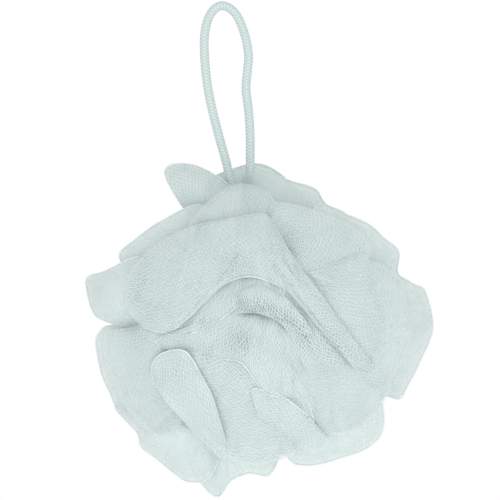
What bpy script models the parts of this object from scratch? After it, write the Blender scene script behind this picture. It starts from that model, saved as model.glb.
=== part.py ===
# Mesh bath pouf: a ball of gathered netting that hangs on a loop of braided cord.
# Metres, +Z up, front towards -Y. The origin is where the loop rests on its hook.
import math

import bmesh
import bpy
from mathutils import Matrix, Vector

# Ball of netting
BALL_RADIUS = 0.0625
BALL_DEPTH_SHARE = 0.92       # front to back against width
BALL_DROP = 0.1165            # from the hook down to the middle of the ball
GATHER_RADIUS = 0.036         # where the folds have run together
SKIN_GRAIN = 0.0014           # finest crease of the folds' skin
NETTING_FACES = 9700

# Folds, against the ball's radius
FOLD_STEPS = 44               # points round one fold
FOLD_RINGS = (0.25, 0.5, 0.72, 0.88, 0.96)
FOLD_REACH = 1.04             # shell that the traced folds lie on
FOLD_CURL = 0.03              # how far a rim rolls in
CURL_POWER = 10               # how near the rim the roll starts
DOME_POWER = 2.5              # how flat a fold's face is before it falls to the rim
FOLD_WAVE = 0.022             # rise and fall of a rim
FOLD_WAVES = 4
WAVE_SHIFT = 9                # radians of the wave for each radius of a fold's height
ROOT_LENGTH = 0.35            # share of a fold, from its gather, that dips into the ball
CURVE_STEPS = 8               # points from one traced point to the next
MIDDLE_TRIES = 29             # places tried across a fold and up it for its middle
OUTER_BEHIND = 0.19           # how far behind the middle the outer folds start
FACE_BEHIND = 0.10

# Plain folds all round, under the traced ones
INNER_FOLDS = 44
INNER_REACH = 0.80
INNER_HEIGHT = 0.90
INNER_CAP = 0.75              # none stands out further from the middle than this
INNER_SIZE = 0.40
INNER_SWELL = 0.05
INNER_LIFT = 0.30             # one side of each over the next
INNER_LIFT_TURN = 2.4         # radians from one fold's lifted side to the next one's
INNER_SWELL_TURN = 1.7
INNER_DIP = 0.10
INNER_GATHER = 0.85           # how far to the side of its middle each gathers
INNER_CORNERS = 18
INNER_WAVES = ((2, 0.20, 1.0), (3, 0.12, 2.3), (6, 0.07, 1.0))

# Cord
CORD_DIAMETER = 0.0035
CORD_CURVE_STEPS = 12
CORD_SPACING = 1.5            # diameters between the points along it
BINDING_RADIUS = 0.006
BINDING_WIDTH = 0.0063
BINDING_SIDES = 8             # round its section
BINDING_STEPS = 20            # round the waist
KNOT_WIDTH = 0.0085
KNOT_DEPTH = 0.0065
KNOT_HEIGHT = 0.006
KNOT_SEGMENTS = 14
KNOT_RINGS = 9
CLEARANCE = 0.0003

# Folds that the front view shows, in hundredths of the ball's radius from its middle. Each has its
# rim's height on the shell, its swell (a hollow is negative), the dip of its root, the place that it
# is gathered to and its outline as (x, z).
OUTER_FOLDS = {
    "ear": (10, 10, 0, (5, 30), [
        (-44, 96), (-37, 102), (-21, 97), (-3, 79), (0, 53), (-21, 50), (-34, 73)]),
    "crown": (-22, 12, 0, (5, 10), [
        (-21, 88), (-5, 95), (12, 96), (26, 85), (35, 69), (23, 47), (-6, 48), (-21, 67)]),
    "right_shoulder": (5, 14, 0, (0, 0), [
        (2, 92), (13, 93), (26, 85), (41, 78), (46, 69), (58, 60), (60, 40), (37, 26), (8, 52)]),
    "right_brow": (45, 10, 12, (10, 0), [
        (40, 68), (57, 61), (69, 54), (76, 46), (84, 37), (82, 27), (80, 18), (54, 6), (33, 37)]),
    "right_far": (30, 14, 12, (0, 0), [
        (66, 34), (84, 22), (91, 17), (97, 12), (99, -9), (90, -26), (80, -41), (73, -47), (50, -29),
        (38, 8)]),
    "right_low": (60, 14, 12, (10, 10), [
        (18, -22), (46, -21), (62, -40), (64, -60), (56, -71), (37, -76), (18, -78), (7, -71), (0, -39)]),
    "foot": (40, 10, 12, (-15, 0), [
        (-51, -60), (-44, -81), (-35, -91), (-26, -82), (-15, -79), (-4, -81), (3, -64), (-10, -36),
        (-37, -40)]),
    "left_foot": (60, 12, 12, (-10, 10), [
        (-87, -31), (-82, -41), (-76, -49), (-75, -57), (-66, -66), (-58, -74), (-50, -80), (-37, -77),
        (-29, -53), (-50, -28), (-72, -22)]),
    "left_low": (50, 14, 12, (0, 0), [
        (-94, 5), (-91, 11), (-84, 14), (-62, 8), (-33, -7), (-45, -36), (-66, -50), (-84, -37),
        (-89, -25), (-93, -12)]),
    "left_mid": (60, 12, 12, (0, 20), [
        (-96, 36), (-95, 43), (-85, 45), (-58, 51), (-27, 33), (-39, 12), (-63, 7), (-85, 16), (-93, 22)]),
    "left_upper": (45, 14, 12, (20, 20), [
        (-75, 52), (-65, 61), (-48, 70), (-24, 76), (-8, 54), (-25, 31), (-60, 35)]),
}
FACE_FOLDS = {
    "pocket": (74, 6, 12, (-5, 20), [
        (-33, 62), (-24, 75), (-10, 84), (3, 85), (15, 77), (19, 62), (-8, 54)]),
    "mantle": (94, 7, 0, (-10, 150), [
        (-30, 65), (-14, 66), (1, 67), (12, 65), (22, 43), (36, 19), (51, -7), (63, -25), (62, -30), (49, -24),
        (32, 0), (21, 19), (8, 29), (-4, 33), (-14, 29), (-25, 20), (-35, 11), (-50, 7), (-65, 12), (-72, 21),
        (-73, 34), (-65, 48), (-48, 59)]),
    "wing_lip": (89, 2, 10, (15, 85), [
        (-64, 16), (-48, 5), (-34, 6), (-23, 10), (-11, 17), (0, 24), (-1, 35), (-15, 39), (-37, 29),
        (-55, 22)]),
    "arch_lip": (91, 2, 6, (0, 60), [
        (-9, 24), (0, 27), (9, 25), (19, 16), (29, -2), (23, -4), (15, 6), (3, 12), (-7, 16)]),
    "hollow": (78, -4, 6, (10, 70), [
        (-23, 11), (-16, 29), (-1, 38), (21, 28), (36, 2), (39, -16), (25, -17), (16, 4), (2, 11), (-11, 13)]),
    "centre": (90, 2, 10, (25, 55), [
        (-59, 4), (-54, -2), (-41, -6), (-27, -10), (-13, -14), (-7, -23), (-2, -32), (5, -36), (12, -39),
        (22, -50), (30, -64), (29, -49), (24, -33), (20, -19), (20, -4), (16, 5), (4, 11), (-10, 14), (-21, 15),
        (-35, 10), (-48, 7)]),
    "tongue": (97, -3, 8, (-10, -110), [
        (-63, -13), (-59, -6), (-50, -3), (-42, -5), (-37, -15), (-31, -30), (-27, -50), (-25, -65), (-31, -67),
        (-41, -54), (-53, -37), (-61, -23)]),
    "belly": (92, 4, 12, (10, 45), [
        (-44, -6), (-16, -14), (13, -10), (21, -35), (23, -60), (3, -72), (-22, -70), (-33, -47), (-38, -26)]),
    "small_fold": (94, 0, 10, (-30, -95), [
        (-8, -31), (-2, -31), (10, -37), (22, -50), (31, -66), (17, -70), (5, -63), (-4, -51)]),
    "right_fan": (88, 5, 14, (5, 45), [
        (19, 73), (31, 69), (48, 61), (60, 53), (67, 44), (65, 35), (49, 34), (30, 31), (22, 38), (18, 56)]),
    "cheek": (91, -2, 14, (10, 45), [
        (27, 32), (39, 37), (54, 38), (64, 37), (68, 23), (70, 7), (71, -10), (67, -25), (60, -29), (50, -19),
        (40, -5), (32, 14)]),
    "right_ear": (86, 6, 12, (30, 0), [
        (64, 35), (81, 24), (88, 5), (81, -20), (65, -38), (50, -32), (63, -18), (71, 1)]),
    "left_drape": (86, 5, 12, (-30, -15), [
        (-89, 7), (-72, 8), (-52, 3), (-47, -17), (-46, -38), (-62, -52), (-81, -31)]),
    "right_drape": (87, 7, 12, (25, 20), [
        (18, -14), (44, -16), (66, -18), (70, -38), (54, -57), (33, -61), (22, -43)]),
}

# Ridges and hollows in them: one end, the other end, height and half width
CREASES = [
    (-23, 60, -4, 35, -8, 6), (-58, 47, -46, 12, -2, 7), (-37, 52, -29, 22, 2, 6), (30, 30, 52, -15, -5, 6),
    (53, 34, 57, -17, 3, 5), (21, 58, 45, 35, -4, 6), (31, 66, 59, 46, 2, 5), (-14, -18, -6, -62, -4, 7),
    (-30, -19, -20, -60, 2, 6), (4, 82, -1, 62, -3, 6), (-35, 98, -17, 79, 2, 5), (32, -27, 33, -66, -4, 8),
    (50, -29, 52, -63, 2, 6), (-78, -1, -75, -45, -4, 7), (-69, 56, -28, 60, -3, 6), (-92, 35, -61, 26, -3, 6),
    (-40, 6, -13, -10, 2, 6), (-24, 14, 16, -13, -3, 6),
]

# The face folds again round the back: turn about the upright axis, tilt, side and scale of each set
TURNED_FACES = [
    (180, 0, -1, 0.90), (112, -8, 1, 0.86), (-112, -8, -1, 0.86), (180, -75, 1, 0.74), (160, 60, -1, 0.77),
]

# Cord's route in millimetres from the hook, up the left leg, over it and down the right one
CORD_ROUTE = [
    (-2.6, 0.0, -93), (-3.2, 0.0, -80), (-3.9, 0.0, -67), (-4.9, -0.2, -55), (-6.5, -0.5, -44.6),
    (-8.2, -0.7, -30.6), (-8.4, -0.6, -18.5), (-7.3, -0.3, -7.8), (-4.3, 0.0, -0.7), (0.2, 0.1, 1.75),
    (4.6, 0.1, -1.7), (7.0, 0.3, -9.5), (7.5, 0.7, -17.0), (6.6, 1.0, -22.0), (5.2, 0.9, -29.0),
    (5.2, 0.6, -37.0), (4.7, 0.2, -46.0), (3.6, 0.0, -56.0), (3.2, 0.0, -67), (3.0, 0.0, -80),
    (2.6, 0.0, -93),
]
LEG_SPREAD = 0.002            # each leg's end from the middle of the knot

BALL_MIDDLE = Vector((0, 0, -BALL_DROP))
KNOT_MIDDLE = BALL_MIDDLE + Vector((0, 0, BINDING_RADIUS + CORD_DIAMETER / 2 + CLEARANCE + KNOT_HEIGHT / 2))


def clear_scene():
    for obj in list(bpy.data.objects):
        bpy.data.objects.remove(obj)


def new_collection(name):
    group = bpy.data.collections.new(name)
    bpy.context.scene.collection.children.link(group)
    return group


def new_material(name, colour, roughness):
    material = bpy.data.materials.new(name)
    material.use_nodes = True
    shader = material.node_tree.nodes["Principled BSDF"]
    shader.inputs["Base Color"].default_value = (*colour, 1)
    shader.inputs["Roughness"].default_value = roughness
    shader.inputs["Metallic"].default_value = 0
    return material


def add_object(name, mesh, group):
    obj = bpy.data.objects.new(name, mesh)
    group.objects.link(obj)
    return obj


def smooth_curve(points, steps, closed):
    # a Catmull-Rom curve through the points
    count = len(points)
    spans = count if closed else count - 1
    curve = []
    for span in range(spans):
        before, start, end, after = (
            points[(span + shift) % count] if closed else points[min(max(span + shift, 0), count - 1)]
            for shift in (-1, 0, 1, 2)
        )
        for step in range(steps):
            t = step / steps
            curve.append(0.5 * (2 * start + (end - before) * t
                                + (2 * before - 5 * start + 4 * end - after) * t ** 2
                                + (3 * start - before - 3 * end + after) * t ** 3))
    if not closed:
        curve.append(points[-1].copy())
    return curve


def spaced_points(curve, count, closed):
    # as many points at equal distances along the curve
    line = curve + [curve[0]] if closed else curve
    marks = [0.0]
    for a, b in zip(line, line[1:]):
        marks.append(marks[-1] + (b - a).length)
    pieces = count if closed else count - 1
    spaced = []
    at = 0
    for index in range(count):
        goal = marks[-1] * index / pieces
        while at < len(marks) - 2 and marks[at + 1] < goal:
            at += 1
        share = (goal - marks[at]) / (marks[at + 1] - marks[at])
        spaced.append(line[at].lerp(line[at + 1], min(share, 1)))
    return spaced


def star_middle(rim):
    # the spot that sees the whole rim, as far from it as can be
    edges = [(a, b - a) for a, b in zip(rim, rim[1:] + rim[:1])]
    side = math.copysign(1, sum(a.x * run.y - a.y * run.x for a, run in edges))
    low = Vector((min(point.x for point in rim), min(point.y for point in rim)))
    size = Vector((max(point.x for point in rim), max(point.y for point in rim))) - low
    best, most = low, -math.inf
    for across in range(MIDDLE_TRIES + 1):
        for up in range(MIDDLE_TRIES + 1):
            spot = low + Vector((size.x * across, size.y * up)) / MIDDLE_TRIES
            clear = min(side * ((a.x - spot.x) * run.y - (a.y - spot.y) * run.x) / run.length
                        for a, run in edges)
            if clear > most:
                best, most = spot, clear
    return best


def creased(spot):
    out = 0.0
    for x, z, end_x, end_z, height, width in CREASES:
        start = Vector((x, z)) / 100
        run = Vector((end_x, end_z)) / 100 - start
        along = min(max((spot - start).dot(run) / run.length_squared, 0), 1)
        gap = (spot - start - along * run).length * 100 / width
        out += height / 100 * math.exp(-gap ** 2)
    return out


def add_fold(bm, outline, fold):
    # A fold is a domed or hollow face inside its outline, and flanks that run down to the waist.
    # It is laid out as seen from the front, and then turned to the way that it faces.
    rim = spaced_points(smooth_curve(outline, CURVE_STEPS, True), FOLD_STEPS, True)
    middle = star_middle(rim)
    away = [(spot - fold["gather"]).length for spot in rim]

    def place(spot, share):
        arm = spot - middle
        out = fold["height"] * math.sqrt(max(fold["reach"] ** 2 - spot.length_squared, 0))
        out += fold["swell"] * (1 - share ** DOME_POWER) + fold["lift"].dot(spot)
        out -= FOLD_CURL * share ** CURL_POWER
        around = FOLD_WAVES * math.atan2(arm.y, arm.x) + WAVE_SHIFT * fold["height"]
        out += FOLD_WAVE * share ** 2 * math.cos(around)
        from_root = ((spot - fold["gather"]).length - min(away)) / (max(away) - min(away))
        step = min(max(from_root / ROOT_LENGTH, 0), 1)
        out -= fold["dip"] * (1 - step * step * (3 - 2 * step))
        if fold["side"]:
            out += creased(Vector((spot.x * fold["side"], spot.y)))
        out = min(out, math.sqrt(max(fold["cap"] ** 2 - spot.length_squared, 0)))
        point = Vector((spot.x, -out * BALL_DEPTH_SHARE, spot.y)) * BALL_RADIUS * fold["scale"]
        return bm.verts.new(BALL_MIDDLE + fold["turn"] @ point)

    top = place(middle, 0)
    rings = [[place(middle.lerp(spot, share), share) for spot in rim] for share in (*FOLD_RINGS, 1)]
    bottom = bm.verts.new(BALL_MIDDLE + fold["turn"] @ Vector((0, fold["behind"] * BALL_RADIUS, 0)))
    faces = []
    for step in range(FOLD_STEPS):
        after = (step + 1) % FOLD_STEPS
        faces.append(bm.faces.new((top, rings[0][step], rings[0][after])))
        for inner, outer in zip(rings, rings[1:]):
            faces.append(bm.faces.new((inner[step], outer[step], outer[after], inner[after])))
        faces.append(bm.faces.new((rings[-1][step], bottom, rings[-1][after])))
    bmesh.ops.recalc_face_normals(bm, faces=faces)


def add_traced_folds(bm, table, behind, around=0, tilt=0, side=1, scale=1):
    turn = Matrix.Rotation(math.radians(around), 3, "Z") @ Matrix.Rotation(math.radians(tilt), 3, "X")
    for height, swell, dip, gather, outline in table.values():
        points = [Vector((x * side, z)) / 100 for x, z in outline]
        add_fold(bm, points, {
            "height": height / 100, "swell": swell / 100, "dip": dip / 100, "reach": FOLD_REACH,
            "cap": math.inf, "gather": Vector((gather[0] * side, gather[1])) / 100,
            "lift": Vector((0, 0)), "behind": behind, "turn": turn, "side": side, "scale": scale,
        })


def add_inner_folds(bm):
    # plain folds that face out evenly all round the ball
    golden = math.pi * (3 - math.sqrt(5))
    for index in range(INNER_FOLDS):
        up = 1 - 2 * (index + 0.5) / INNER_FOLDS
        level = math.sqrt(1 - up ** 2)
        facing = Vector((math.cos(golden * index) * level, math.sin(golden * index) * level, up))
        outline = []
        for step in range(INNER_CORNERS):
            angle = math.tau * step / INNER_CORNERS
            size = 1 + sum(share * math.cos(waves * angle + phase * index)
                           for waves, share, phase in INNER_WAVES)
            outline.append(Vector((math.cos(angle), math.sin(angle))) * INNER_SIZE * size)
        lifted = INNER_LIFT_TURN * index
        way = Vector((math.cos(lifted), math.sin(lifted)))
        turn = Vector((0, -1, 0)).rotation_difference(facing).to_matrix()
        add_fold(bm, outline, {
            "height": INNER_HEIGHT, "swell": INNER_SWELL * math.cos(INNER_SWELL_TURN * index),
            "dip": INNER_DIP, "reach": INNER_REACH, "cap": INNER_CAP, "gather": -INNER_GATHER * way,
            "lift": INNER_LIFT * way, "behind": 0, "turn": turn, "side": 0, "scale": 1,
        })


def cord_points():
    end = KNOT_MIDDLE + Vector((0, 0, KNOT_HEIGHT / 2 + CLEARANCE))
    route = [Vector(point) / 1000 for point in CORD_ROUTE]
    route = [end - Vector((LEG_SPREAD, 0, 0)), *route, end + Vector((LEG_SPREAD, 0, 0))]
    curve = smooth_curve(route, CORD_CURVE_STEPS, False)
    length = sum((b - a).length for a, b in zip(curve, curve[1:]))
    return spaced_points(curve, round(length / (CORD_SPACING * CORD_DIAMETER)), False)


def lowered_ends(points):
    # the cord's hollow runs on into the knot's
    drop = Vector((0, 0, KNOT_HEIGHT / 4))
    return [points[0] - drop, *points[1:-1], points[-1] - drop]


def cord_mesh(name, points, diameter):
    curve = bpy.data.curves.new(name, "CURVE")
    curve.dimensions = "3D"
    curve.bevel_depth = diameter / 2
    curve.bevel_resolution = 2
    curve.use_fill_caps = True
    spline = curve.splines.new("POLY")
    spline.points.add(len(points) - 1)
    for spot, point in zip(spline.points, points):
        spot.co = (*point, 1)
    tube = bpy.data.objects.new(name, curve)
    bpy.context.scene.collection.objects.link(tube)
    bpy.context.view_layer.update()
    mesh = bpy.data.meshes.new_from_object(tube.evaluated_get(bpy.context.evaluated_depsgraph_get()))
    bpy.data.objects.remove(tube)
    bm = bmesh.new()
    bm.from_mesh(mesh)
    bmesh.ops.remove_doubles(bm, verts=bm.verts, dist=0.00001)
    bmesh.ops.recalc_face_normals(bm, faces=bm.faces)
    bm.to_mesh(mesh)
    bm.free()
    return mesh


def knot_mesh(name, grown):
    bm = bmesh.new()
    bmesh.ops.create_uvsphere(bm, u_segments=KNOT_SEGMENTS, v_segments=KNOT_RINGS, radius=1)
    size = (KNOT_WIDTH / 2 + grown, KNOT_DEPTH / 2 + grown, KNOT_HEIGHT / 2 + grown)
    bmesh.ops.scale(bm, vec=size, verts=bm.verts)
    bmesh.ops.translate(bm, vec=KNOT_MIDDLE, verts=bm.verts)
    mesh = bpy.data.meshes.new(name)
    bm.to_mesh(mesh)
    bm.free()
    return mesh


def binding_mesh(name, grown):
    # the cord's turns side by side round the waist, as one ring of their oval section
    bm = bmesh.new()
    section = []
    for step in range(BINDING_SIDES):
        angle = math.tau * step / BINDING_SIDES
        out = BINDING_RADIUS + (CORD_DIAMETER / 2 + grown) * math.cos(angle)
        section.append(bm.verts.new((out, (BINDING_WIDTH / 2 + grown) * math.sin(angle), 0)))
    edges = [bm.edges.new((a, b)) for a, b in zip(section, section[1:] + section[:1])]
    bmesh.ops.spin(bm, geom=edges, cent=(0, 0, 0), axis=(0, 1, 0), angle=math.tau,
                     steps=BINDING_STEPS, use_merge=True)
    bmesh.ops.remove_doubles(bm, verts=bm.verts, dist=0.00001)
    bmesh.ops.recalc_face_normals(bm, faces=bm.faces)
    bmesh.ops.translate(bm, vec=BALL_MIDDLE, verts=bm.verts)
    mesh = bpy.data.meshes.new(name)
    bm.to_mesh(mesh)
    bm.free()
    return mesh


def folded_netting(name, group):
    # every fold with the gathered middle, run together into one soft skin
    bm = bmesh.new()
    gathers = bmesh.ops.create_icosphere(bm, subdivisions=2, radius=GATHER_RADIUS)
    bmesh.ops.translate(bm, vec=BALL_MIDDLE, verts=gathers["verts"])
    add_traced_folds(bm, OUTER_FOLDS, OUTER_BEHIND)
    add_traced_folds(bm, FACE_FOLDS, FACE_BEHIND)
    for placing in TURNED_FACES:
        add_traced_folds(bm, FACE_FOLDS, 0, *placing)
    add_inner_folds(bm)
    mesh = bpy.data.meshes.new(name)
    bm.to_mesh(mesh)
    bm.free()
    netting = add_object(name, mesh, group)
    skin = netting.modifiers.new("skin", "REMESH")
    skin.mode = "VOXEL"
    skin.voxel_size = SKIN_GRAIN
    netting.data = outer_skin(evaluated_mesh(netting))
    netting.modifiers.clear()
    thin_out = netting.modifiers.new("thin_out", "DECIMATE")
    thin_out.ratio = NETTING_FACES / sum(len(face.vertices) - 2 for face in netting.data.polygons)
    return netting


def outer_skin(mesh):
    # leaves out the sealed pockets between the folds
    bm = bmesh.new()
    bm.from_mesh(mesh)
    unseen = set(bm.verts)
    skins = []
    while unseen:
        front = [unseen.pop()]
        skin = []
        while front:
            vert = front.pop()
            skin.append(vert)
            for edge in vert.link_edges:
                other = edge.other_vert(vert)
                if other in unseen:
                    unseen.discard(other)
                    front.append(other)
        skins.append(skin)
    largest = max(skins, key=len)
    pockets = [vert for skin in skins if skin is not largest for vert in skin]
    bmesh.ops.delete(bm, geom=pockets, context="VERTS")
    bm.to_mesh(mesh)
    bm.free()
    return mesh


def evaluated_mesh(obj):
    bpy.context.view_layer.update()
    return bpy.data.meshes.new_from_object(obj.evaluated_get(bpy.context.evaluated_depsgraph_get()))


def add_hollows(obj, group):
    step = obj.modifiers.new("hollows", "BOOLEAN")
    step.operation = "DIFFERENCE"
    step.operand_type = "COLLECTION"
    step.collection = group
    step.solver = "EXACT"


def hide_helpers(group):
    for obj in group.objects:
        obj.hide_render = True
        obj.display_type = "WIRE"


def build():
    clear_scene()
    pouf = new_collection("mesh_bath_pouf")
    hollows = new_collection("cord_hollows")

    points = cord_points()
    wider = CORD_DIAMETER + 2 * CLEARANCE
    add_object("cord_hollow", cord_mesh("cord_hollow", lowered_ends(points), wider), hollows)
    add_object("knot_hollow", knot_mesh("knot_hollow", CLEARANCE), hollows)
    add_object("binding_hollow", binding_mesh("binding_hollow", CLEARANCE), hollows)
    hide_helpers(hollows)

    netting = folded_netting("mesh_netting", pouf)
    add_hollows(netting, hollows)
    netting.data.materials.append(new_material("netting", (0.62, 0.72, 0.70), 0.75))
    netting.data.shade_smooth()

    cord = add_object("hanging_cord", cord_mesh("hanging_cord", points, CORD_DIAMETER), pouf)
    knot = add_object("cord_knot", knot_mesh("cord_knot", 0), pouf)
    binding = add_object("waist_binding", binding_mesh("waist_binding", 0), pouf)
    cord_material = new_material("cord", (0.68, 0.78, 0.75), 0.7)
    for obj in (cord, knot, binding):
        obj.data.materials.append(cord_material)
        obj.data.shade_smooth()


build()
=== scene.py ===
import math

import bmesh
import bpy
import numpy as np
from mathutils import Matrix, Vector


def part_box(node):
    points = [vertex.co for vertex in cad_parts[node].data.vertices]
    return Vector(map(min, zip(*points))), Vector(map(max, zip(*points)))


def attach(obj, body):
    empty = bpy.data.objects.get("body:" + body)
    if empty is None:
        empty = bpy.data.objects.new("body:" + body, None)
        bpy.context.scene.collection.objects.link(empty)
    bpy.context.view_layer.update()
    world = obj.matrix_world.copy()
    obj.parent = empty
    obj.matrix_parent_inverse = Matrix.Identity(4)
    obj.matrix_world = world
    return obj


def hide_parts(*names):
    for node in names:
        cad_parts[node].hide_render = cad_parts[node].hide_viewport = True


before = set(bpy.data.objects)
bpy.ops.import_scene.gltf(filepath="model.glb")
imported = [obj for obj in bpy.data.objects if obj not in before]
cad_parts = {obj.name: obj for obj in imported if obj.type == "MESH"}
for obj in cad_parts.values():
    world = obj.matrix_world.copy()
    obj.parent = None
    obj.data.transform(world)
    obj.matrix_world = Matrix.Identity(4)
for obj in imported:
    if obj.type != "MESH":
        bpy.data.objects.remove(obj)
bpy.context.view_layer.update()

root = "root"
tiny = 1e-9                            # keeps a division by a length off zero
noiseRange = (0.3, 0.7)                # where most levels of a noise texture lie
patchRange = (0.35, 0.65)              # where its levels turn from one tint into the other

# camera first, so that the cord is measured against its view
view = {
    "pixel": 0.00036,                  # metres of the ball that one pixel of the photograph covers
    "pixelsAcross": 500,
    "distance": 1.6,
    "aim": (-0.00014, 0.0, -0.0868),
    "roll": 6.69,                      # the photograph shows the ball hanging a little to the right
}


def addCamera():
    camera = bpy.data.objects.new("camera", bpy.data.cameras.new("camera"))
    bpy.context.scene.collection.objects.link(camera)
    camera.data.angle = 2 * math.atan(view["pixel"] * view["pixelsAcross"] / 2 / view["distance"])
    place = Matrix.Translation(Vector(view["aim"]) + Vector((0, -view["distance"], 0)))
    level = Matrix.Rotation(math.radians(90), 4, "X")
    camera.matrix_world = place @ level @ Matrix.Rotation(-math.radians(view["roll"]), 4, "Z")
    bpy.context.scene.camera = camera


addCamera()
print("camera set")


def addPiece(name, bm, material):
    mesh = bpy.data.meshes.new(name)
    bm.to_mesh(mesh)
    bm.free()
    mesh.materials.append(material)
    mesh.shade_smooth()
    piece = bpy.data.objects.new(name, mesh)
    bpy.context.scene.collection.objects.link(piece)
    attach(piece, root)
    return piece


def newMaterial(name, colour, roughness):
    material = bpy.data.materials.new(name)
    material.use_nodes = True
    shader = material.node_tree.nodes["Principled BSDF"]
    shader.inputs["Base Color"].default_value = (*colour, 1)
    shader.inputs["Roughness"].default_value = roughness
    return material, shader


def addNoise(tree, scale, detail):
    place = tree.nodes.new("ShaderNodeTexCoord")
    noise = tree.nodes.new("ShaderNodeTexNoise")
    noise.inputs["Scale"].default_value = scale
    noise.inputs["Detail"].default_value = detail
    tree.links.new(place.outputs["Object"], noise.inputs["Vector"])
    return noise.outputs["Fac"]


def addRamp(tree, level, low, high, span):
    ramp = tree.nodes.new("ShaderNodeValToRGB")
    for element, position, colour in zip(ramp.color_ramp.elements, span, (low, high)):
        element.position = position
        element.color = (*colour, 1)
    tree.links.new(level, ramp.inputs["Fac"])
    return ramp.outputs["Color"]


def addSpread(tree, level, low, high):
    spread = tree.nodes.new("ShaderNodeMapRange")
    spread.inputs["From Min"].default_value = noiseRange[0]
    spread.inputs["From Max"].default_value = noiseRange[1]
    spread.inputs["To Min"].default_value = low
    spread.inputs["To Max"].default_value = high
    tree.links.new(level, spread.inputs["Value"])
    return spread.outputs["Result"]


def addBump(tree, level, strength, depth):
    bump = tree.nodes.new("ShaderNodeBump")
    bump.inputs["Strength"].default_value = strength
    bump.inputs["Distance"].default_value = depth
    tree.links.new(level, bump.inputs["Height"])
    return bump.outputs["Normal"]


def smoothCurve(points, steps, closed):
    count = len(points)
    spans = count if closed else count - 1
    t = np.linspace(0, 1, steps, endpoint=False)[:, None]
    curve = []
    for span in range(spans):
        ends = [(span + shift) % count if closed else min(max(span + shift, 0), count - 1)
                for shift in (-1, 0, 1, 2)]
        before, start, end, after = (np.array(points[at]) for at in ends)
        curve.append(0.5 * (2 * start + (end - before) * t + (2 * before - 5 * start + 4 * end - after) * t ** 2
                            + (3 * start - before - 3 * end + after) * t ** 3))
    if not closed:
        curve.append(np.array([points[-1]]))
    return np.concatenate(curve)


def spacedPoints(curve, count):
    marks = np.concatenate([[0], np.cumsum(np.linalg.norm(np.diff(curve, axis=0), axis=1))])
    goals = np.linspace(0, marks[-1], count)
    return np.stack([np.interp(goals, marks, column) for column in curve.T], axis=1)


# cord, a round braid that runs up from the knot, over the hook and down again
cord = {
    "diameter": 0.0035,
    "route": [(-2.6, 0.0, -93), (-3.2, 0.0, -80), (-3.9, 0.0, -67), (-4.9, -0.2, -55), (-6.5, -0.5, -44.6),
              (-8.2, -0.7, -30.6), (-8.4, -0.6, -18.5), (-7.3, -0.3, -7.8), (-4.3, 0.0, -0.7), (0.2, 0.1, 1.75),
              (4.6, 0.1, -1.7), (7.0, 0.3, -9.5), (7.5, 0.7, -17.0), (6.6, 1.0, -22.0), (5.2, 0.9, -29.0),
              (5.2, 0.6, -37.0), (4.7, 0.2, -46.0), (3.6, 0.0, -56.0), (3.2, 0.0, -67), (3.0, 0.0, -80),
              (2.6, 0.0, -93)],      # millimetres from the hook
    "routeSteps": 12,                  # spots on the curve between two points of the route
    "pathStep": 8,                     # rings between two spots of the path that is handed on
    "legSpread": 0.002,
    "clearance": 0.0003,
    "columns": 6,                      # plaits seen round the cord
    "plaitLength": 0.0012,
    "plaitHeight": 0.00020,
    "plaitSunk": 1.2,                  # how deep the hollows lie in the cord, in plait heights
    "sides": 40,
    "ringSpacing": 0.0002,
    "weld": 0.000001,
    "mapScale": 100,
    # painted shade: the hollows between the plaits are coloured darker than the raised stitches
    "gap": (0.53, 0.65, 0.635),
    "stitch": (0.725, 0.825, 0.808),
    "stitchRange": (0.0, 0.9),
    "roughness": 0.7,
    "sheen": 0.3,
    "sheenRoughness": 0.4,
    "yarnScale": 26,
    "yarnDistortion": 1.5,
    "yarnBump": 0.15,
    "yarnDepth": 0.0001,
}


def cordPath():
    low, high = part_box("cord_knot")
    end = np.array([(low[0] + high[0]) / 2, (low[1] + high[1]) / 2, high[2] + cord["clearance"]])
    spread = np.array([cord["legSpread"], 0, 0])
    route = [end - spread, *(np.array(point) / 1000 for point in cord["route"]), end + spread]
    curve = smoothCurve(route, cord["routeSteps"], False)
    length = np.linalg.norm(np.diff(curve, axis=0), axis=1).sum()
    return spacedPoints(curve, round(length / cord["ringSpacing"])), length


def braidMaterial():
    material, shader = newMaterial("braidedCord", cord["stitch"], cord["roughness"])
    shader.inputs["Sheen Weight"].default_value = cord["sheen"]
    shader.inputs["Sheen Roughness"].default_value = cord["sheenRoughness"]
    tree = material.node_tree
    uv = tree.nodes.new("ShaderNodeUVMap")
    uv.uv_map = "along"
    # painted shade: where the raised level is low, in the braid's hollows, the cord takes the darker gap colour
    raised = tree.nodes.new("ShaderNodeAttribute")
    raised.attribute_name = "raised"
    tree.links.new(addRamp(tree, raised.outputs["Fac"], cord["gap"], cord["stitch"], cord["stitchRange"]),
                   shader.inputs["Base Color"])
    yarn = tree.nodes.new("ShaderNodeTexWave")
    yarn.bands_direction = "DIAGONAL"
    yarn.inputs["Scale"].default_value = cord["yarnScale"]
    yarn.inputs["Distortion"].default_value = cord["yarnDistortion"]
    tree.links.new(uv.outputs["UV"], yarn.inputs["Vector"])
    raisedYarn = addBump(tree, yarn.outputs["Fac"], cord["yarnBump"], cord["yarnDepth"])
    tree.links.new(raisedYarn, shader.inputs["Normal"])
    return material


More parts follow.
